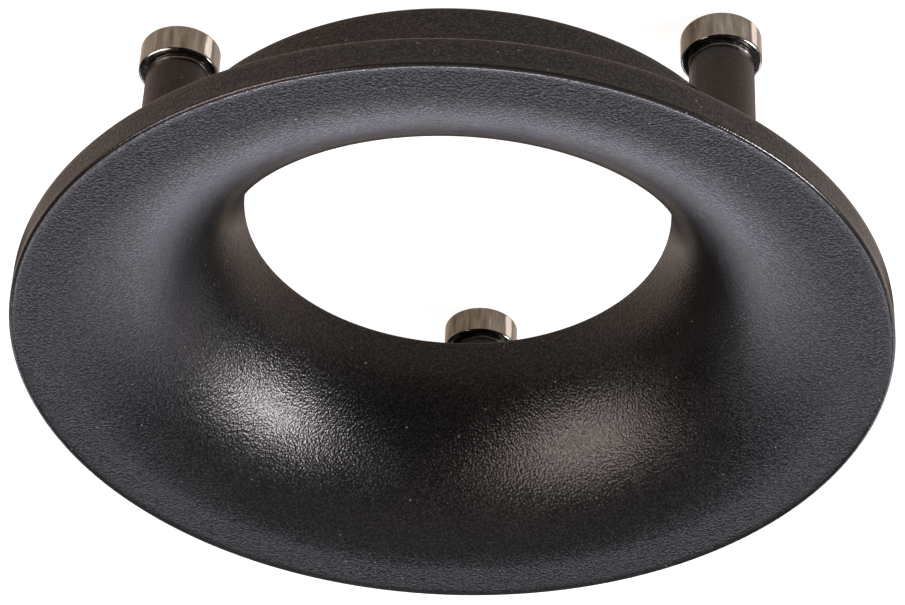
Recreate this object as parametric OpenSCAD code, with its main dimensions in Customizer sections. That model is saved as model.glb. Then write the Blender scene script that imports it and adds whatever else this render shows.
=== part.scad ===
// Trumpet-shaped glare ring for a recessed LED downlight.
// The flared face looks along +Z. The ring stands on three magnets, whose faces lie at Z = 0.
// Each magnet is glued to a post, and each post is pressed into a seat behind the flare.

/* [Ring] */
// Outer diameter of the rim
ring_d = 54; // [52:0.5:58]
// Thickness of the rim at its edge
rim_t = 2; // [1.6:0.1:2.4]
// Width of the dished land around the mouth of the flare
land_w = 3; // [2.4:0.1:3.4]
// Slope of the land towards the throat
land_slope = 5; // [3:0.5:6]
// Radius of the trumpet curve, from the land to the throat
flare_r = 11.5; // [11.3:0.1:11.9]
// Wall thickness of the flare
flare_wall = 1.7; // [1.4:0.1:2]
// Depth from the front face to the end of the collar and throat
ring_depth = 11.5; // [11:0.1:11.5]
// Rounding of the rim's two outer edges
rim_round = 0.2; // [0.1:0.1:0.6]

/* [Collar] */
// Outer diameter of the collar behind the flare
collar_d = 38.4; // [37:0.2:39.6]
// Wall thickness of the collar
collar_wall = 1.5; // [1.2:0.1:1.8]
// Rounding of the collar's two end edges
collar_round = 0.2; // [0.1:0.1:0.5]

/* [Posts] */
// Diameter of the circle that the post axes lie on
post_circle_d = 38.8; // [37.6:0.2:39.6]
// Diameter of each post
post_d = 4; // [3.4:0.1:4.4]
// Bevel at the magnet end of each post
post_bevel = 0.15; // [0.05:0.05:0.4]
// Diameter of the spigot at the root of each post
spigot_d = 2.5; // [2:0.1:3]
// Length of the spigot
spigot_l = 1.7; // [1.2:0.1:2]
// Metal around each post in its seat
seat_wall = 1; // [0.8:0.1:1.2]
// Depth of the seat's floor behind the front face
seat_depth = 5.8; // [5.6:0.1:6.4]

/* [Magnets] */
// Diameter of each disc magnet
magnet_d = 5; // [4.5:0.5:6]
// Thickness of each disc magnet
magnet_t = 2; // [1.5:0.5:2.5]
// Rounding of the magnet's edges
magnet_round = 0.2; // [0.1:0.05:0.4]
// Overall height from the magnets' faces to the front face
overall_h = 17.1; // [16.8:0.1:19]

/* [Adhesive] */
// Thickness of the adhesive under each magnet
glue_t = 0.2; // [0.1:0.05:0.4]
// Diameter that the adhesive spreads to
glue_d = 3.8; // [3:0.1:4]

/* [Hidden] */
$fn = 96;

post_count = 3;
first_post_angle = 90;
post_step = 360 / post_count;

ring_r = ring_d / 2;
collar_r = collar_d / 2;
post_r = post_d / 2;
seat_r = post_r + seat_wall;
spigot_r = spigot_d / 2;
land_r = ring_r - land_w;
back_r = flare_r - flare_wall;

face_z = overall_h;
rim_back_z = face_z - rim_t;
land_z = face_z - (land_w - rim_round) * tan(land_slope);
arc_x = land_r + flare_r * sin(land_slope);
arc_z = land_z - flare_r * cos(land_slope);
collar_z = face_z - ring_depth;
seat_z = face_z - seat_depth;
post_z = magnet_t + glue_t;

// Rectangle with its lower corner at the origin and all four corners rounded
module soft_rectangle(w, h, r) {
    translate([r, 0]) square([w - 2 * r, h]);
    translate([0, r]) square([w, h - 2 * r]);
    for (x = [r, w - r], y = [r, h - r]) translate([x, y]) circle(r = r);
}

// Places its children on the axis of post number i
module at_post(i) {
    rotate(first_post_angle + i * post_step) translate([post_circle_d / 2, 0]) children();
}

// Half section of everything that the trumpet curve encloses, with the rim
module flare_section() {
    intersection() {
        translate([arc_x, arc_z]) circle(r = flare_r);
        translate([0, collar_z]) square([land_r, ring_depth]);
    }
    intersection() {
        translate([land_r - rim_round, rim_back_z])
            soft_rectangle(land_w + rim_round, rim_t, rim_round);
        polygon([
            [land_r - rim_round, rim_back_z],
            [ring_r, rim_back_z],
            [ring_r, face_z],
            [ring_r - rim_round, face_z],
            [land_r, land_z],
            [land_r - rim_round, land_z]
        ]);
    }
}

// Half section of the space cored out behind the flare, on both sides of the collar
module core_section() {
    difference() {
        translate([arc_x, arc_z]) circle(r = back_r);
        translate([0, rim_back_z]) square([ring_r, rim_t]);
        translate([collar_r - collar_wall, collar_z])
            soft_rectangle(collar_wall, ring_depth, collar_round);
    }
}

// Boss that holds post i: full height inside the collar, cut off at the seat outside it
module post_seat(i) {
    at_post(i) translate([0, 0, seat_z]) cylinder(r = seat_r, h = seat_depth);
    intersection() {
        at_post(i) translate([0, 0, collar_z]) cylinder(r = seat_r, h = ring_depth);
        cylinder(r = collar_r - collar_round, h = face_z);
    }
}

// Hole for post i: the post's own width down to the seat, then the spigot's
module post_hole(i) {
    at_post(i) {
        cylinder(r = post_r, h = seat_z);
        cylinder(r = spigot_r, h = seat_z + spigot_l);
    }
}

module flared_ring() {
    color("#26262a")
    difference() {
        union() {
            rotate_extrude() difference() {
                flare_section();
                core_section();
            }
            intersection() {
                rotate_extrude() flare_section();
                for (i = [0 : post_count - 1]) post_seat(i);
            }
        }
        for (i = [0 : post_count - 1]) post_hole(i);
    }
}

module post(i) {
    color("#2a2724")
    at_post(i) rotate_extrude() polygon([
        [0, post_z],
        [post_r - post_bevel, post_z],
        [post_r, post_z + post_bevel],
        [post_r, seat_z],
        [spigot_r, seat_z],
        [spigot_r, seat_z + spigot_l],
        [0, seat_z + spigot_l]
    ]);
}

module adhesive(i) {
    color("#b9b2a0")
    at_post(i) translate([0, 0, magnet_t]) cylinder(d = glue_d, h = glue_t);
}

module magnet(i) {
    color("#8f8880")
    at_post(i) rotate_extrude() intersection() {
        translate([-magnet_d / 2, 0]) soft_rectangle(magnet_d, magnet_t, magnet_round);
        square([magnet_d, magnet_t]);
    }
}

flared_ring();
for (i = [0 : post_count - 1]) {
    post(i);
    adhesive(i);
    magnet(i);
}
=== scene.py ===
"""Trumpet-shaped glare ring with three magnet posts, standing on its magnets on a pale floor."""

import math

import bmesh
import bpy
from mathutils import Matrix, Vector, noise


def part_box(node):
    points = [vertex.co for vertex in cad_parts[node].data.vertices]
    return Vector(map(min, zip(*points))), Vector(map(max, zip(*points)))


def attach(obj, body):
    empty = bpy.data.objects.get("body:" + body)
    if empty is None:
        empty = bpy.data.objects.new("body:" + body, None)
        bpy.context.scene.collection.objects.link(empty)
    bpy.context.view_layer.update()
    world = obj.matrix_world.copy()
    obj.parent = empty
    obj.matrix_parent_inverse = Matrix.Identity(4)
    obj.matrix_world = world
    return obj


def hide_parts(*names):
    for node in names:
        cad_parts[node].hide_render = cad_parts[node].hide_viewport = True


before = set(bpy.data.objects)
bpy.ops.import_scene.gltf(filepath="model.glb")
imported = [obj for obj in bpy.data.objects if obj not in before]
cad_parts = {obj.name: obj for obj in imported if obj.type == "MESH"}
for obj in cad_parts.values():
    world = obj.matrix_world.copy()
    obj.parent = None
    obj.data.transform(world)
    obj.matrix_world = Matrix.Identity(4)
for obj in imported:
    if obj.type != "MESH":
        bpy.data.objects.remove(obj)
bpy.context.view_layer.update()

MM = 0.001
TAU = 2 * math.pi
BODY = "root"

# Ring, from the frame where it tells and otherwise the design's own sizes, with the slope in degrees
ring_low, ring_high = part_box("flared_ring")
RING_R = ring_high.x
FACE_Z = ring_high.z
COLLAR_Z = ring_low.z
RIM_T = 2 * MM
RIM_ROUND = 0.2 * MM
LAND_W = 3 * MM
LAND_SLOPE = 5
FLARE_R = 11.5 * MM
FLARE_WALL = 1.7 * MM
COLLAR_R = 19.2 * MM
COLLAR_WALL = 1.5 * MM
COLLAR_ROUND = 0.2 * MM
THROAT_ROUND = 0.2 * MM

# Fine bead of coat along the rim's front edge, above the land
BEAD_W = 0.22 * MM
BEAD_H = 0.07 * MM

# Where the faces lie, and the centre of the arcs of the flare's face and back
RIM_BACK_Z = FACE_Z - RIM_T
INNER_R = COLLAR_R - COLLAR_WALL
BACK_R = FLARE_R - FLARE_WALL
LAND_R = RING_R - LAND_W
LAND_Z = FACE_Z - (LAND_W - RIM_ROUND) * math.tan(math.radians(LAND_SLOPE))
ARC_R = LAND_R + FLARE_R * math.sin(math.radians(LAND_SLOPE))
ARC_Z = LAND_Z - FLARE_R * math.cos(math.radians(LAND_SLOPE))

# Posts
POST_COUNT = 3
FIRST_POST_AT = 90
post_low, post_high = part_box("post_1")
POST_CIRCLE_R = (post_low.y + post_high.y) / 2
POST_R = (post_high.x - post_low.x) / 2
POST_ROUND = 0.18 * MM
SHOULDER_ROUND = 0.1 * MM
SPIGOT_R = 1.25 * MM
SPIGOT_L = 1.7 * MM
SPIGOT_ROUND = 0.2 * MM

# Seats of the posts, with the fillets that a casting has
SEAT_WALL = 1 * MM
SEAT_Z = post_high.z - SPIGOT_L
SEAT_R = POST_R + SEAT_WALL
SEAT_ROUND = 0.25 * MM
SEAT_ROUND_SHARE = 0.4
LEAST_SEAT_STEP = 0.2 * MM
PLAN_FILLET = 0.6 * MM
BACK_FILLET = 0.5 * MM
POCKET_FILLET = 0.35 * MM
HOLE_GAP = 0.02 * MM

# Magnets, and the adhesive on them, which creeps out in a few broad waves and more fine ones
MAGNET_ROUND = 0.2 * MM
ADHESIVE_INSET = 0.15 * MM
ADHESIVE_R = POST_R - ADHESIVE_INSET
BROAD_CREEP = 0.22 * MM
BROAD_WAVES = 1.3
FINE_CREEP = 0.06 * MM
FINE_WAVES = 4.1

# How finely the meshes are divided: the casting's columns near a seat and between two seats, and the
# turned pieces round their axes
SEAT_COLUMN_STEP = 4
SEAT_COLUMNS = 24
FILLET_COLUMNS = 8
FILLET_CROWDING = 1.6
LEAST_COLUMN_GAP = math.radians(0.03)
COLUMNS_BETWEEN_SEATS = 72
POST_SEGMENTS = 96
MAGNET_SEGMENTS = 128
WELD_DISTANCE = 0.003 * MM
SHARP_ANGLE = math.radians(40)


# ---------------------------------------------------------------- meshes

def make_object(name, verts, faces, material, node):
    """A smooth mesh piece that stands for one CAD node."""
    mesh = bpy.data.meshes.new(name)
    mesh.from_pydata(verts, [], faces)
    mesh.validate()
    mesh.shade_smooth()
    mesh.materials.append(material)
    piece = bpy.data.objects.new(name, mesh)
    bpy.context.scene.collection.objects.link(piece)
    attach(piece, BODY)
    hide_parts(node)
    return piece


def arc(centre, radius, start, end, steps):
    """Points of an arc from one angle to another, in degrees, both ends included."""
    points = []
    for i in range(steps + 1):
        a = math.radians(start + (end - start) * i / steps)
        points.append((centre[0] + radius * math.cos(a), centre[1] + radius * math.sin(a)))
    return points


def line(start, end, steps):
    """Points strictly between two others, so that arcs on either side keep their ends."""
    return [
        tuple(s + (e - s) * i / steps for s, e in zip(start, end))
        for i in range(1, steps)
    ]


def lathe(profile, segments, shift=None):
    """Vertices and faces of an open half profile turned about Z, with its two ends on the axis."""
    body = profile[1:-1]
    verts = [(0, 0, profile[0][1])]
    for r, z in body:
        for k in range(segments):
            a = TAU * k / segments
            v = Vector((r * math.cos(a), r * math.sin(a), z))
            verts.append(v + shift(v, a) if shift else v)
    verts.append((0, 0, profile[-1][1]))
    last = len(verts) - 1
    faces = []
    for k in range(segments):
        k2 = (k + 1) % segments
        faces.append((0, 1 + k2, 1 + k))
        for j in range(len(body) - 1):
            lower, upper = 1 + j * segments, 1 + (j + 1) * segments
            faces.append((lower + k, lower + k2, upper + k2, upper + k))
        top = 1 + (len(body) - 1) * segments
        faces.append((last, top + k, top + k2))
    return verts, faces


def disc(radius, z, parts):
    """Points of a flat end, at these parts of its radius."""
    return [(radius * part, z) for part in parts]


def post_angle(i):
    """Azimuth of post number i, in radians."""
    return math.radians(FIRST_POST_AT + i * 360 / POST_COUNT)


def post_axis(i):
    """Foot of post i's axis."""
    a = post_angle(i)
    return Vector((POST_CIRCLE_R * math.cos(a), POST_CIRCLE_R * math.sin(a), 0))


def placed(verts, i):
    """Vertices turned and moved from the Z axis onto post i's axis."""
    turn = Matrix.Rotation(post_angle(i), 3, "Z")
    return [turn @ Vector(v) + post_axis(i) for v in verts]


# ---------------------------------------------------------------- the casting

def chord_angle(side, opposite, far):
    """Angle at the ring's centre in a triangle with these two sides and the far one, in radians."""
    return math.acos((side ** 2 + opposite ** 2 - far ** 2) / (2 * side * opposite))


# Azimuths from a post, in radians, of the fillets between its seat and the collar's two walls
OUTER_FILLET_AT = chord_angle(POST_CIRCLE_R, COLLAR_R + PLAN_FILLET, SEAT_R + PLAN_FILLET)
INNER_FILLET_AT = chord_angle(POST_CIRCLE_R, INNER_R - PLAN_FILLET, SEAT_R + PLAN_FILLET)


def tangent_azimuth(fillet_r, fillet_at):
    """Azimuth from a post at which its seat's circle meets a fillet, in radians."""
    x = fillet_r * math.cos(fillet_at) - POST_CIRCLE_R
    y = fillet_r * math.sin(fillet_at)
    part = SEAT_R / math.hypot(x, y)
    return math.atan2(y * part, POST_CIRCLE_R + x * part)


# Azimuths from a post, in radians, at which its seat meets those fillets
OUTER_TANGENT_AT = tangent_azimuth(COLLAR_R + PLAN_FILLET, OUTER_FILLET_AT)
INNER_TANGENT_AT = tangent_azimuth(INNER_R - PLAN_FILLET, INNER_FILLET_AT)


def circle_crossing(distance, radius, azimuth, sign):
    """Where a ray from the centre crosses a circle: far side for sign 1, near side for -1."""
    across = distance * math.sin(azimuth)
    return distance * math.cos(azimuth) + sign * math.sqrt(max(0, radius ** 2 - across ** 2))


def outer_outline(delta):
    """Radius of the collar's outer wall, or of a seat on it, at an azimuth from the post."""
    delta = abs(delta)
    if delta >= OUTER_FILLET_AT:
        return COLLAR_R
    if delta >= OUTER_TANGENT_AT:
        return circle_crossing(COLLAR_R + PLAN_FILLET, PLAN_FILLET, OUTER_FILLET_AT - delta, -1)
    return circle_crossing(POST_CIRCLE_R, SEAT_R, delta, 1)


def inner_outline(delta):
    """Radius of the collar's inner wall, or of a seat inside it, at an azimuth from the post."""
    delta = abs(delta)
    if delta >= INNER_FILLET_AT:
        return INNER_R
    if delta >= INNER_TANGENT_AT:
        return circle_crossing(INNER_R - PLAN_FILLET, PLAN_FILLET, INNER_FILLET_AT - delta, 1)
    return circle_crossing(POST_CIRCLE_R, SEAT_R, delta, -1)


def seat_azimuths():
    """Azimuths from a post at which the casting is cut, close where a seat's outline is steep."""
    found = [0.0]
    for step in range(1, SEAT_COLUMNS + 1):
        a = math.radians(step * SEAT_COLUMN_STEP)
        found.append(math.atan2(SEAT_R * math.sin(a), POST_CIRCLE_R + SEAT_R * math.cos(a)))
        found.append(math.atan2(SEAT_R * math.sin(a), POST_CIRCLE_R - SEAT_R * math.cos(a)))
    for start, end in ((OUTER_TANGENT_AT, OUTER_FILLET_AT), (INNER_TANGENT_AT, INNER_FILLET_AT)):
        for i in range(FILLET_COLUMNS + 1):
            found.append(start + (end - start) * (i / FILLET_COLUMNS) ** FILLET_CROWDING)
    kept = []
    for a in sorted(a for a in found if a <= OUTER_FILLET_AT):
        if not kept or a - kept[-1] > LEAST_COLUMN_GAP:
            kept.append(a)
    return [-a for a in reversed(kept[1:])] + kept


def casting_columns():
    """(azimuth, azimuth from the nearest post) of every column of the casting's mesh."""
    near = seat_azimuths()
    gap = TAU / POST_COUNT - 2 * near[-1]
    between = COLUMNS_BETWEEN_SEATS
    steps = near + [near[-1] + gap * i / between for i in range(1, between)]
    columns = []
    for i in range(POST_COUNT):
        for a in steps:
            columns.append((post_angle(i) + a, a if a <= near[-1] else math.pi))
    return columns


def fillet_under_flare(wall_r, radius, side):
    """Fillet centre and its angle between the flare's back and a wall, outside it or inside it."""
    r = wall_r + side * radius
    z = ARC_Z + math.sqrt((BACK_R - radius) ** 2 - (ARC_R - r) ** 2)
    return (r, z), math.degrees(math.atan2(z - ARC_Z, r - ARC_R))


def seat_step(outer_r):
    """Outline where the outer wall steps in from a seat to the collar, or a plain stretch of wall."""
    depth = max(outer_r - COLLAR_R, LEAST_SEAT_STEP)
    radius = min(SEAT_ROUND, SEAT_ROUND_SHARE * depth)
    step = arc((COLLAR_R + depth - radius, SEAT_Z + radius), radius, 0, -90, steps=4)
    step += line(step[-1], (COLLAR_R + radius, SEAT_Z), steps=3)
    step += arc((COLLAR_R + radius, SEAT_Z - radius), radius, 90, 180, steps=4)
    share = min(1, (outer_r - COLLAR_R) / LEAST_SEAT_STEP)
    last = len(step) - 1
    plain = [(outer_r, SEAT_Z + SEAT_ROUND * (1 - 2 * i / last)) for i in range(last + 1)]
    return [
        tuple(p + (s - p) * share for p, s in zip(flat, stepped))
        for flat, stepped in zip(plain, step)
    ]


def casting_profile(outer_r, inner_r):
    """Closed outline of the casting's section, starting at the throat and going up the flare."""
    throat_z = COLLAR_Z + THROAT_ROUND
    throat_at = math.degrees(math.asin((throat_z - ARC_Z) / FLARE_R))
    outline = arc((ARC_R, ARC_Z), FLARE_R, 180 - throat_at, 90 + LAND_SLOPE, steps=54)
    bead_foot = (RING_R - RIM_ROUND - BEAD_W, FACE_Z - BEAD_H)
    outline += line(outline[-1], bead_foot, steps=8)
    outline.append(bead_foot)
    outline += line(bead_foot, (RING_R - RIM_ROUND, FACE_Z), steps=3)
    outline += arc((RING_R - RIM_ROUND, FACE_Z - RIM_ROUND), RIM_ROUND, 90, 0, steps=6)
    outline += line(outline[-1], (RING_R, RIM_BACK_Z + RIM_ROUND), steps=6)
    outline += arc((RING_R - RIM_ROUND, RIM_BACK_Z + RIM_ROUND), RIM_ROUND, 0, -90, steps=6)

    back_start = math.degrees(math.asin((RIM_BACK_Z - ARC_Z) / BACK_R))
    foot, foot_at = fillet_under_flare(outer_r, BACK_FILLET, side=1)
    back = arc((ARC_R, ARC_Z), BACK_R, 180 - back_start, foot_at, steps=14)
    outline += line(outline[-1], back[0], steps=10)
    outline += back[:-1]
    outline += arc(foot, BACK_FILLET, foot_at, 180, steps=6)
    step = seat_step(outer_r)
    outline += line(outline[-1], step[0], steps=6)
    outline += step

    collar_low = COLLAR_Z + COLLAR_ROUND
    outline += line(outline[-1], (COLLAR_R, collar_low), steps=16)
    outline += arc((COLLAR_R - COLLAR_ROUND, collar_low), COLLAR_ROUND, 0, -90, steps=5)
    outline += line(outline[-1], (inner_r + COLLAR_ROUND, COLLAR_Z), steps=5)
    outline += arc((inner_r + COLLAR_ROUND, collar_low), COLLAR_ROUND, -90, -180, steps=5)

    root, root_at = fillet_under_flare(inner_r, POCKET_FILLET, side=-1)
    outline += line(outline[-1], (inner_r, root[1]), steps=12)
    outline += arc(root, POCKET_FILLET, 0, root_at, steps=8)
    end_at = math.degrees(math.asin((throat_z - ARC_Z) / BACK_R))
    outline += arc((ARC_R, ARC_Z), BACK_R, root_at, 180 - end_at, steps=16)[1:]
    outer_end = (outline[-1][0] - THROAT_ROUND, throat_z)
    outline += arc(outer_end, THROAT_ROUND, 0, -90, steps=4)[1:]
    throat_r = outline[0][0]
    outline += line(outline[-1], (throat_r + THROAT_ROUND, COLLAR_Z), steps=4)
    outline += arc((throat_r + THROAT_ROUND, throat_z), THROAT_ROUND, -90, -180, steps=4)[:-1]
    return outline


def post_hole_cutter(i):
    """A hidden solid that cuts the hole for post i, a hair wider than the post."""
    profile = [
        (0, 0),
        (POST_R + HOLE_GAP, 0),
        (POST_R + HOLE_GAP, SEAT_Z + HOLE_GAP),
        (SPIGOT_R + HOLE_GAP, SEAT_Z + HOLE_GAP),
        (SPIGOT_R + HOLE_GAP, SEAT_Z + SPIGOT_L + HOLE_GAP),
        (0, SEAT_Z + SPIGOT_L + HOLE_GAP),
    ]
    verts, faces = lathe(profile, POST_SEGMENTS)
    mesh = bpy.data.meshes.new("post_hole_cutter")
    mesh.from_pydata(placed(verts, i), [], faces)
    cutter = bpy.data.objects.new("post_hole_cutter", mesh)
    bpy.context.scene.collection.objects.link(cutter)
    return cutter


def cut(piece, cutters):
    """Cuts the cutters out of the piece and removes them."""
    for cutter in cutters:
        modifier = piece.modifiers.new("cut", "BOOLEAN")
        modifier.operation = "DIFFERENCE"
        modifier.solver = "EXACT"
        modifier.object = cutter
    depsgraph = bpy.context.evaluated_depsgraph_get()
    result = bpy.data.meshes.new_from_object(piece.evaluated_get(depsgraph))
    piece.modifiers.clear()
    piece.data = result
    for cutter in cutters:
        bpy.data.objects.remove(cutter)
    tidy_mesh(result)


def tidy_mesh(mesh):
    """Welds the slivers that a cut leaves, splits its many-sided faces and keeps its edges crisp."""
    work = bmesh.new()
    work.from_mesh(mesh)
    bmesh.ops.remove_doubles(work, verts=work.verts, dist=WELD_DISTANCE)
    bmesh.ops.triangulate(work, faces=[face for face in work.faces if len(face.verts) > 4])
    work.to_mesh(mesh)
    work.free()
    mesh.set_sharp_from_angle(angle=SHARP_ANGLE)


def make_casting(material):
    """The ring: one section after another around the axis, joined up, with the posts' holes cut in it."""
    columns = casting_columns()
    verts = []
    for azimuth, delta in columns:
        outline = casting_profile(outer_outline(delta), inner_outline(delta))
        cos_a, sin_a = math.cos(azimuth), math.sin(azimuth)
        verts += [(r * cos_a, r * sin_a, z) for r, z in outline]
    rows = len(outline)
    faces = []
    for i in range(len(columns)):
        here, there = i * rows, (i + 1) % len(columns) * rows
        for j in range(rows):
            j2 = (j + 1) % rows
            faces.append((here + j, here + j2, there + j2, there + j))
    piece = make_object("ring_casting", verts, faces, material, "flared_ring")
    cut(piece, [post_hole_cutter(i) for i in range(POST_COUNT)])


# ---------------------------------------------------------------- posts, adhesive, magnets

def make_post(i, material):
    """A turned pin with a spigot at its root."""
    low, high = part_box(f"post_{i + 1}")
    profile = [(0, low.z)]
    profile += disc(POST_R, low.z, (0.3, 0.6))
    profile += arc((POST_R - POST_ROUND, low.z + POST_ROUND), POST_ROUND, -90, 0, steps=6)
    profile += line(profile[-1], (POST_R, SEAT_Z - SHOULDER_ROUND), steps=24)
    profile += arc((POST_R - SHOULDER_ROUND, SEAT_Z - SHOULDER_ROUND), SHOULDER_ROUND, 0, 90, steps=2)
    profile += arc((SPIGOT_R + SHOULDER_ROUND, SEAT_Z + SHOULDER_ROUND), SHOULDER_ROUND, -90, -180, steps=2)
    profile += line(profile[-1], (SPIGOT_R, high.z - SPIGOT_ROUND), steps=5)
    profile += arc((SPIGOT_R - SPIGOT_ROUND, high.z - SPIGOT_ROUND), SPIGOT_ROUND, 0, 90, steps=3)
    profile.append((0, high.z))
    verts, faces = lathe(profile, POST_SEGMENTS)
    make_object(f"post_pin_{i + 1}", placed(verts, i), faces, material, f"post_{i + 1}")


def make_magnet(i, material):
    """A disc with rounded edges."""
    low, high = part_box(f"magnet_{i + 1}")
    radius = (high.x - low.x) / 2
    edge = MAGNET_ROUND
    profile = [(0, low.z)]
    profile += disc(radius, low.z, (0.3, 0.6, 0.85))
    profile += arc((radius - edge, low.z + edge), edge, -90, 0, steps=7)
    profile += line(profile[-1], (radius, high.z - edge), steps=8)
    profile += arc((radius - edge, high.z - edge), edge, 0, 90, steps=7)
    profile += disc(radius, high.z, (0.85, 0.6, 0.3))
    profile.append((0, high.z))
    verts, faces = lathe(profile, MAGNET_SEGMENTS)
    make_object(
        f"disc_magnet_{i + 1}", placed(verts, i), faces, material, f"magnet_{i + 1}"
    )


def make_adhesive(i, material):
    """The cured drop, squeezed out unevenly between the post and its magnet."""
    low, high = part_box(f"adhesive_{i + 1}")
    thick = high.z - low.z
    own_place = Vector((7.1 * i + 2.3, 0.7, 0.4))

    def squeeze(v, a):
        """How far the drop has crept out at an azimuth: most at its side, and not at its middle."""
        r = math.hypot(v.x, v.y)
        if r < ADHESIVE_R / 2:
            return Vector((0, 0, 0))
        broad = noise.noise(own_place + Vector((math.cos(a), math.sin(a), 0)) * BROAD_WAVES)
        fine = noise.noise(own_place + Vector((math.cos(a), math.sin(a), 0.5)) * FINE_WAVES)
        out = (BROAD_CREEP * broad + FINE_CREEP * fine) * (r / ADHESIVE_R)
        return Vector((math.cos(a) * out, math.sin(a) * out, 0))

    profile = [(0, low.z)]
    profile += disc(ADHESIVE_R, low.z, (0.5, 0.8, 1.0))
    profile += arc((ADHESIVE_R, low.z + thick / 2), thick / 2 * 0.98, -80, 80, steps=8)
    profile += disc(ADHESIVE_R, high.z, (1.0, 0.8, 0.5))
    profile.append((0, high.z))
    verts, faces = lathe(profile, POST_SEGMENTS, squeeze)
    make_object(
        f"adhesive_bead_{i + 1}", placed(verts, i), faces, material, f"adhesive_{i + 1}"
    )


# ---------------------------------------------------------------- materials

# Powder coat: the colours of its pits, darker as painted shade in the grain's hollows, and of its grains,
# the grains' width, their relief over their width, and the part of the gloss that the pits lose, also
# painted shade
RING_COAT = {
    "dark": (0.001, 0.001, 0.001),
    "light": (0.004, 0.004, 0.0045),
    "grain": 0.15 * MM,
    "relief": 0.16,
    "pit": 0.4,
}
POST_COAT = {
    "dark": (0.003, 0.002, 0.001),
    "light": (0.007, 0.005, 0.004),
    "grain": 0.18 * MM,
    "relief": 0.08,
    "pit": 0.12,
}
COAT_ROUGHNESS = (0.3, 0.35)
COAT_SPECULAR = 0.37

# Grain: the heights between which the colour, and then the gloss, goes from pit to grain, and how fine
# the swell under the grains and the duller patches are, as parts of the grains' own fineness
COLOUR_HEIGHTS = (0.0, 0.45)
GLOSS_HEIGHTS = (-0.1, 0.3)
SWELL_FINENESS = 0.8
PATCH_FINENESS = 0.05

# Where it is seen at a grazing angle, the coat gains roughness and keeps little of its gloss: how much,
# and between which values of Facing
GRAZING_ROUGHNESS = 0.35
ROUGHNESS_FACING = (0.82, 1.0)
GRAZING_SPECULAR = 0.04
SPECULAR_FACING = (0.55, 0.92)

# Worn edges, lighter partly from thinner coat and partly as a painted glint: colour, how far from a sharp
# corner the wear and glint start to fade and end, the roughness lost, and the part of the grain that is
# left
EDGE_WEAR_AND_GLINT_COLOUR = (0.008, 0.0075, 0.007)
EDGE_REACH = (0.24 * MM, 0.48 * MM)
EDGE_SMOOTHING = 0.14
EDGE_RELIEF = 0.35

# Dust: the spacing of the places where a speck may lie, the share of them that stay clean, and where
# a speck's edge starts to fade and ends, over the spacing
SPECK_COLOUR = (0.1, 0.1, 0.1)
SPECK_SPACING = 0.9 * MM
SPECK_CLEAN_SHARE = 0.6
SPECK_EDGE = (0.04, 0.09)

# Nickel: the azimuth of the side on which a bright reflection is painted on each disc, the cosines at
# which it starts and is full, how far up the tones it lies, the streaks' fineness along each axis, and
# the tones, whose brightest stop is mostly reached by that painted reflection
NICKEL_PAINTED_REFLECTION_AT = -54
NICKEL_PAINTED_REFLECTION_COSINES = (0.988, 0.996)
NICKEL_PAINTED_REFLECTION = 0.42
NICKEL_STRETCH = (1, 1, 0.15)
NICKEL_TONES_AND_PAINTED_REFLECTION = [
    (0.3, (0.127, 0.112, 0.088)),
    (0.5, (0.21, 0.208, 0.185)),
    (0.66, (0.28, 0.29, 0.28)),
    (0.9, (0.9, 0.9, 0.88)),
]
ADHESIVE_TONES = [(0.3, (0.05, 0.046, 0.04)), (0.75, (0.16, 0.15, 0.13))]

# The sheet's own colour, what the camera sees of its glow, and the light that it gives the object
FLOOR_TONES = [(0.3, (0.24, 0.24, 0.24)), (0.7, (0.26, 0.26, 0.26))]
FLOOR_SHOWN = (0.95, 0.94, 0.93)
FLOOR_LIGHT = (0.545, 0.403, 0.302)


def new_material(name):
    """A material, its nodes, a function that links two sockets, and its shader."""
    material = bpy.data.materials.new(name)
    material.use_nodes = True
    tree = material.node_tree
    return material, tree.nodes, tree.links.new, tree.nodes["Principled BSDF"]


def noise_node(nodes, link, coords, scale, detail=2.0, roughness=0.5):
    """Noise over the object's own coordinates, in metres."""
    node = nodes.new("ShaderNodeTexNoise")
    node.inputs["Scale"].default_value = scale
    node.inputs["Detail"].default_value = detail
    node.inputs["Roughness"].default_value = roughness
    link(coords, node.inputs["Vector"])
    return node.outputs["Fac"]


def ramp_node(nodes, link, value, stops):
    """A colour ramp over a value, from (position, (r, g, b)) stops."""
    node = nodes.new("ShaderNodeValToRGB")
    ramp = node.color_ramp
    while len(ramp.elements) < len(stops):
        ramp.elements.new(0.5)
    for element, (position, colour) in zip(ramp.elements, stops):
        element.position = position
        element.color = (*colour, 1)
    link(value, node.inputs["Fac"])
    return node.outputs["Color"]


def range_node(nodes, link, value, low, high, from_low=0.3, from_high=0.7):
    """From low to high, and no further, as the value goes from from_low to from_high."""
    node = nodes.new("ShaderNodeMapRange")
    node.inputs["From Min"].default_value = from_low
    node.inputs["From Max"].default_value = from_high
    node.inputs["To Min"].default_value = low
    node.inputs["To Max"].default_value = high
    link(value, node.inputs["Value"])
    return node.outputs["Result"]


def bump_node(nodes, link, height, distance):
    """Relief whose height goes from 0 to this distance, in metres, as the value goes from 0 to 1."""
    node = nodes.new("ShaderNodeBump")
    node.inputs["Distance"].default_value = distance
    node.inputs["Strength"].default_value = 1.0
    link(height, node.inputs["Height"])
    return node


def cell_node(nodes, link, coords, scale, smoothness=0.6):
    """Distance from the middle of the nearest of many soft-edged cells."""
    node = nodes.new("ShaderNodeTexVoronoi")
    node.feature = "SMOOTH_F1"
    node.inputs["Scale"].default_value = scale
    node.inputs["Smoothness"].default_value = smoothness
    link(coords, node.inputs["Vector"])
    return node.outputs["Distance"]


def math_node(nodes, link, operation, first, second):
    """Sum, product, lesser or comparison of two values, each a number or a socket."""
    node = nodes.new("ShaderNodeMath")
    node.operation = operation
    for socket, value in zip(node.inputs, (first, second)):
        if isinstance(value, (int, float)):
            socket.default_value = value
        else:
            link(value, socket)
    return node.outputs["Value"]


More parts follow.
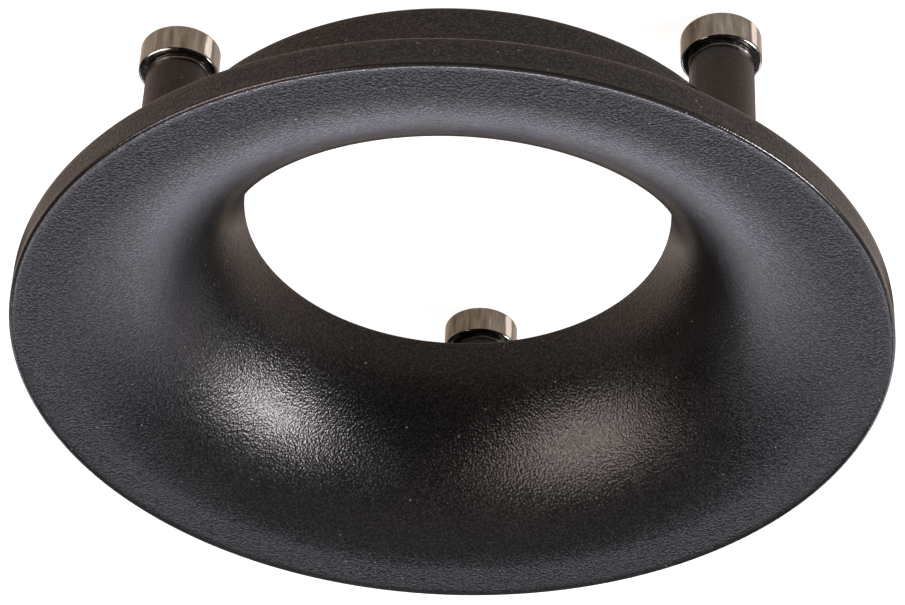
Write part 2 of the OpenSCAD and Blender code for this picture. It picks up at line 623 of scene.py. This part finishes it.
def edge_node(nodes, link, coords):
    """1 on the ring's sharp edges, where powder coat pulls back and thins and a glint is painted, and 0
    away from them.
    """
    split = nodes.new("ShaderNodeSeparateXYZ")
    link(coords, split.inputs[0])
    flat = nodes.new("ShaderNodeCombineXYZ")
    link(split.outputs["X"], flat.inputs["X"])
    link(split.outputs["Y"], flat.inputs["Y"])
    around = nodes.new("ShaderNodeVectorMath")
    around.operation = "LENGTH"
    link(flat.outputs[0], around.inputs[0])
    section = nodes.new("ShaderNodeCombineXYZ")
    link(around.outputs["Value"], section.inputs["X"])
    link(split.outputs["Z"], section.inputs["Y"])
    nearest = None
    for r, z in ((RING_R, FACE_Z), (RING_R, RIM_BACK_Z), (COLLAR_R, COLLAR_Z)):
        gap = nodes.new("ShaderNodeVectorMath")
        gap.operation = "DISTANCE"
        link(section.outputs[0], gap.inputs[0])
        gap.inputs[1].default_value = (r, z, 0)
        here = gap.outputs["Value"]
        nearest = math_node(nodes, link, "MINIMUM", nearest, here) if nearest else here
    return range_node(nodes, link, nearest, 1.0, 0.0, *EDGE_REACH)


def speck_node(nodes, link, coords):
    """1 on a few specks of dust, about a tenth of a millimetre wide, and 0 between them."""
    spots = nodes.new("ShaderNodeTexVoronoi")
    spots.inputs["Scale"].default_value = 1 / SPECK_SPACING
    link(coords, spots.inputs["Vector"])
    near = range_node(nodes, link, spots.outputs["Distance"], 1.0, 0.0, *SPECK_EDGE)
    lot = nodes.new("ShaderNodeSeparateColor")
    link(spots.outputs["Color"], lot.inputs["Color"])
    chosen = math_node(nodes, link, "GREATER_THAN", lot.outputs["Red"], SPECK_CLEAN_SHARE)
    return math_node(nodes, link, "MULTIPLY", near, chosen)


def mix_colours(nodes, link, share, first, second):
    """From one colour to another, as share goes from 0 to 1."""
    node = nodes.new("ShaderNodeMix")
    node.data_type = "RGBA"
    link(share, node.inputs["Factor"])
    for socket, colour in zip((node.inputs[6], node.inputs[7]), (first, second)):
        if isinstance(colour, tuple):
            socket.default_value = (*colour, 1)
        else:
            link(colour, socket)
    return node.outputs[2]


def powder_coat(name, dark, light, grain, relief, pit):
    """Fine-textured powder coat: round grains packed close together, with pits between them darkened and
    dulled as painted shade.
    """
    material, nodes, link, shader = new_material(name)
    coords = nodes.new("ShaderNodeTexCoord").outputs["Object"]
    per_metre = 1 / grain
    domes = math_node(nodes, link, "MULTIPLY", cell_node(nodes, link, coords, per_metre), -1.0)
    swell = noise_node(nodes, link, coords, per_metre * SWELL_FINENESS)
    height = math_node(nodes, link, "ADD", domes, swell)
    edge = edge_node(nodes, link, coords)
    facing = nodes.new("ShaderNodeLayerWeight").outputs["Facing"]

    # Colour darker in the pits: painted shade in the grain's hollows
    colour = ramp_node(nodes, link, height, list(zip(COLOUR_HEIGHTS, (dark, light))))
    # Edges a little lighter: partly thin, worn coat and partly a painted glint
    worn_and_glinting = mix_colours(nodes, link, edge, colour, EDGE_WEAR_AND_GLINT_COLOUR)
    dusty = mix_colours(nodes, link, speck_node(nodes, link, coords), worn_and_glinting, SPECK_COLOUR)
    link(dusty, shader.inputs["Base Color"])

    patches = noise_node(nodes, link, coords, per_metre * PATCH_FINENESS)
    rough = range_node(nodes, link, patches, *COAT_ROUGHNESS)
    scatter = range_node(nodes, link, facing, 0.0, GRAZING_ROUGHNESS, *ROUGHNESS_FACING)
    rough = math_node(nodes, link, "ADD", rough, scatter)
    smooth = math_node(nodes, link, "MULTIPLY", edge, -EDGE_SMOOTHING)
    link(math_node(nodes, link, "ADD", rough, smooth), shader.inputs["Roughness"])

    specular = range_node(nodes, link, facing, COAT_SPECULAR, GRAZING_SPECULAR, *SPECULAR_FACING)
    # Pits lose gloss as painted shade in the grain's hollows
    pit_shade = range_node(nodes, link, height, 1 - pit, 1 + pit / 3, *GLOSS_HEIGHTS)
    link(math_node(nodes, link, "MULTIPLY", specular, pit_shade), shader.inputs["Specular IOR Level"])

    bump = bump_node(nodes, link, height, grain * relief)
    flattened = range_node(nodes, link, edge, 1.0, EDGE_RELIEF, from_low=0.0, from_high=1.0)
    link(flattened, bump.inputs["Strength"])
    link(bump.outputs["Normal"], shader.inputs["Normal"])
    return material


def facing_node(nodes, link, azimuth, low, high):
    """0 to 1 as the surface turns towards an azimuth, between two cosines."""
    geometry = nodes.new("ShaderNodeNewGeometry")
    facing = nodes.new("ShaderNodeVectorMath")
    facing.operation = "DOT_PRODUCT"
    link(geometry.outputs["Normal"], facing.inputs[0])
    facing.inputs[1].default_value = direction(azimuth, 0)
    return range_node(nodes, link, facing.outputs["Value"], 0.0, 1.0, from_low=low, from_high=high)


def nickel_plate():
    """Dark nickel over a ground disc, streaked along its wall, with a bright reflection painted on one
    side.
    """
    material, nodes, link, shader = new_material("nickel_plate")
    coords = nodes.new("ShaderNodeTexCoord").outputs["Object"]
    stretch = nodes.new("ShaderNodeVectorMath")
    stretch.operation = "MULTIPLY"
    stretch.inputs[1].default_value = NICKEL_STRETCH
    link(coords, stretch.inputs[0])
    streaks = noise_node(nodes, link, stretch.outputs["Vector"], scale=2300, detail=3.0, roughness=0.6)
    grit = noise_node(nodes, link, coords, scale=6000)
    # A bright reflection painted into the colour of each disc, on the side that faces this azimuth
    painted_reflection_side = facing_node(nodes, link, NICKEL_PAINTED_REFLECTION_AT, *NICKEL_PAINTED_REFLECTION_COSINES)
    painted_reflection = math_node(nodes, link, "MULTIPLY", painted_reflection_side, NICKEL_PAINTED_REFLECTION)
    tone_and_reflection = math_node(nodes, link, "ADD", streaks, painted_reflection)
    link(ramp_node(nodes, link, tone_and_reflection, NICKEL_TONES_AND_PAINTED_REFLECTION), shader.inputs["Base Color"])
    link(range_node(nodes, link, streaks, low=0.12, high=0.22), shader.inputs["Roughness"])
    bump = bump_node(nodes, link, grit, distance=0.004 * MM)
    link(bump.outputs["Normal"], shader.inputs["Normal"])
    shader.inputs["Metallic"].default_value = 1.0
    return material


def cured_adhesive():
    """Glossy, slightly cloudy cured drop."""
    material, nodes, link, shader = new_material("cured_adhesive")
    coords = nodes.new("ShaderNodeTexCoord").outputs["Object"]
    cloud = noise_node(nodes, link, coords, scale=1500)
    link(ramp_node(nodes, link, cloud, ADHESIVE_TONES), shader.inputs["Base Color"])
    link(range_node(nodes, link, cloud, low=0.08, high=0.2), shader.inputs["Roughness"])
    bump = bump_node(nodes, link, cloud, distance=0.02 * MM)
    link(bump.outputs["Normal"], shader.inputs["Normal"])
    shader.inputs["Coat Weight"].default_value = 0.6
    return material


def floor_material():
    """Matt white sheet on a light table."""
    material, nodes, link, shader = new_material("white_sheet")
    coords = nodes.new("ShaderNodeTexCoord").outputs["Object"]
    fibre = noise_node(nodes, link, coords, scale=400, detail=3.0)
    link(ramp_node(nodes, link, fibre, FLOOR_TONES), shader.inputs["Base Color"])
    shader.inputs["Roughness"].default_value = 0.9
    shader.inputs["Specular IOR Level"].default_value = 0.1
    seen = nodes.new("ShaderNodeLightPath").outputs["Is Camera Ray"]
    link(mix_colours(nodes, link, seen, FLOOR_LIGHT, FLOOR_SHOWN), shader.inputs["Emission Color"])
    shader.inputs["Emission Strength"].default_value = 1.0
    return material


# ---------------------------------------------------------------- studio

# Brightness of the backdrop that the camera sees past the floor, and of the light that it gives
BACKDROP_SHOWN = 0.95
BACKDROP_LIGHT = 0.015
FLOOR_HALF = 2.5

# The camera looks at a point on the ring's axis, from above its face
CAMERA_AIM_Z = FACE_Z - 4.37 * MM
CAMERA_DISTANCE = 194.8 * MM
CAMERA_AZIMUTH = -5.97
CAMERA_ELEVATION = 37.54
CAMERA_ROLL = 182.69
CAMERA_NEAR = 5 * MM
SENSOR_W = 36
LENS = 124.95
SHIFT_X = -0.001
SHIFT_Y = 0.0008


def direction(azimuth, elevation):
    """Unit vector towards a place: azimuth 0 is -Y, where the viewer stands, and 90 is +X."""
    a, e = math.radians(azimuth), math.radians(elevation)
    return Vector((math.sin(a) * math.cos(e), -math.cos(a) * math.cos(e), math.sin(e)))


def make_camera():
    """A view into the ring's mouth, turned over, so that its posts point up in the picture."""
    data = bpy.data.cameras.new("camera")
    data.sensor_width = SENSOR_W
    data.lens = LENS
    data.shift_x, data.shift_y = SHIFT_X, SHIFT_Y
    data.clip_start = CAMERA_NEAR
    camera = bpy.data.objects.new("camera", data)
    back = direction(CAMERA_AZIMUTH, CAMERA_ELEVATION)
    camera.location = Vector((0, 0, CAMERA_AIM_Z)) + back * CAMERA_DISTANCE
    aim = (-back).to_track_quat("-Z", "Y").to_matrix().to_4x4()
    roll = Matrix.Rotation(math.radians(CAMERA_ROLL), 4, "Z")
    camera.rotation_euler = (aim @ roll).to_euler()
    bpy.context.scene.collection.objects.link(camera)
    bpy.context.scene.camera = camera


def make_softbox(name, place, size, power, colour):
    """A soft box that faces the ring: place is its azimuth, elevation and distance, size its sides."""
    azimuth, elevation, distance = place
    data = bpy.data.lights.new(name, "AREA")
    data.shape = "RECTANGLE"
    data.size, data.size_y = size
    data.energy = power
    data.color = colour
    light = bpy.data.objects.new(name, data)
    towards = direction(azimuth, elevation)
    light.location = Vector((0, 0, FACE_Z / 2)) + towards * distance
    light.rotation_euler = towards.to_track_quat("Z", "Y").to_euler()
    bpy.context.scene.collection.objects.link(light)


def make_lights():
    """A key and a fill on the two sides, and a band of pale light behind, from low down to overhead."""
    make_softbox("key", (-91, 34.5, 0.7), (0.22, 0.22), 10.4, (1.0, 0.936, 0.968))
    make_softbox("fill", (59, 41, 0.7), (0.5, 0.5), 7.9, (1.0, 0.836, 0.78))
    make_softbox("horizon", (178, 4, 1.2), (1.6, 0.16), 8.1, (0.903, 0.875, 1.0))
    make_softbox("back", (178, 28, 1.2), (1.6, 0.16), 4.8, (0.873, 0.873, 1.0))
    make_softbox("left", (140, 14, 1.2), (0.5, 0.5), 0.6, (1.0, 0.925, 0.933))
    make_softbox("right", (-140, 14, 1.2), (0.5, 0.5), 1.55, (0.977, 0.886, 1.0))
    make_softbox("overhead", (178, 75, 1.2), (0.8, 0.8), 1.5, (1.0, 0.93, 0.876))


def make_world():
    """Dark room that gives next to no light, with a pale backdrop where the camera sees past the floor."""
    world = bpy.data.worlds.new("room")
    bpy.context.scene.world = world
    world.use_nodes = True
    nodes, link = world.node_tree.nodes, world.node_tree.links.new
    seen = nodes.new("ShaderNodeLightPath").outputs["Is Camera Ray"]
    strength = range_node(
        nodes, link, seen, BACKDROP_LIGHT, BACKDROP_SHOWN, from_low=0.0, from_high=1.0
    )
    nodes["Background"].inputs["Color"].default_value = (1, 1, 1, 1)
    link(strength, nodes["Background"].inputs["Strength"])


def make_floor():
    """The sheet that the magnets stand on."""
    low, high = -FLOOR_HALF, FLOOR_HALF
    mesh = bpy.data.meshes.new("floor")
    mesh.from_pydata([(low, low, 0), (high, low, 0), (high, high, 0), (low, high, 0)], [], [(0, 1, 2, 3)])
    mesh.materials.append(floor_material())
    floor = bpy.data.objects.new("floor", mesh)
    bpy.context.scene.collection.objects.link(floor)


def main():
    bpy.context.scene.view_settings.view_transform = "Standard"
    make_camera()
    make_casting(powder_coat("black_coat", **RING_COAT))
    post_coat = powder_coat("post_coat", **POST_COAT)
    nickel = nickel_plate()
    adhesive = cured_adhesive()
    for i in range(POST_COUNT):
        make_post(i, post_coat)
        make_adhesive(i, adhesive)
        make_magnet(i, nickel)
    make_floor()
    make_world()
    make_lights()


main()
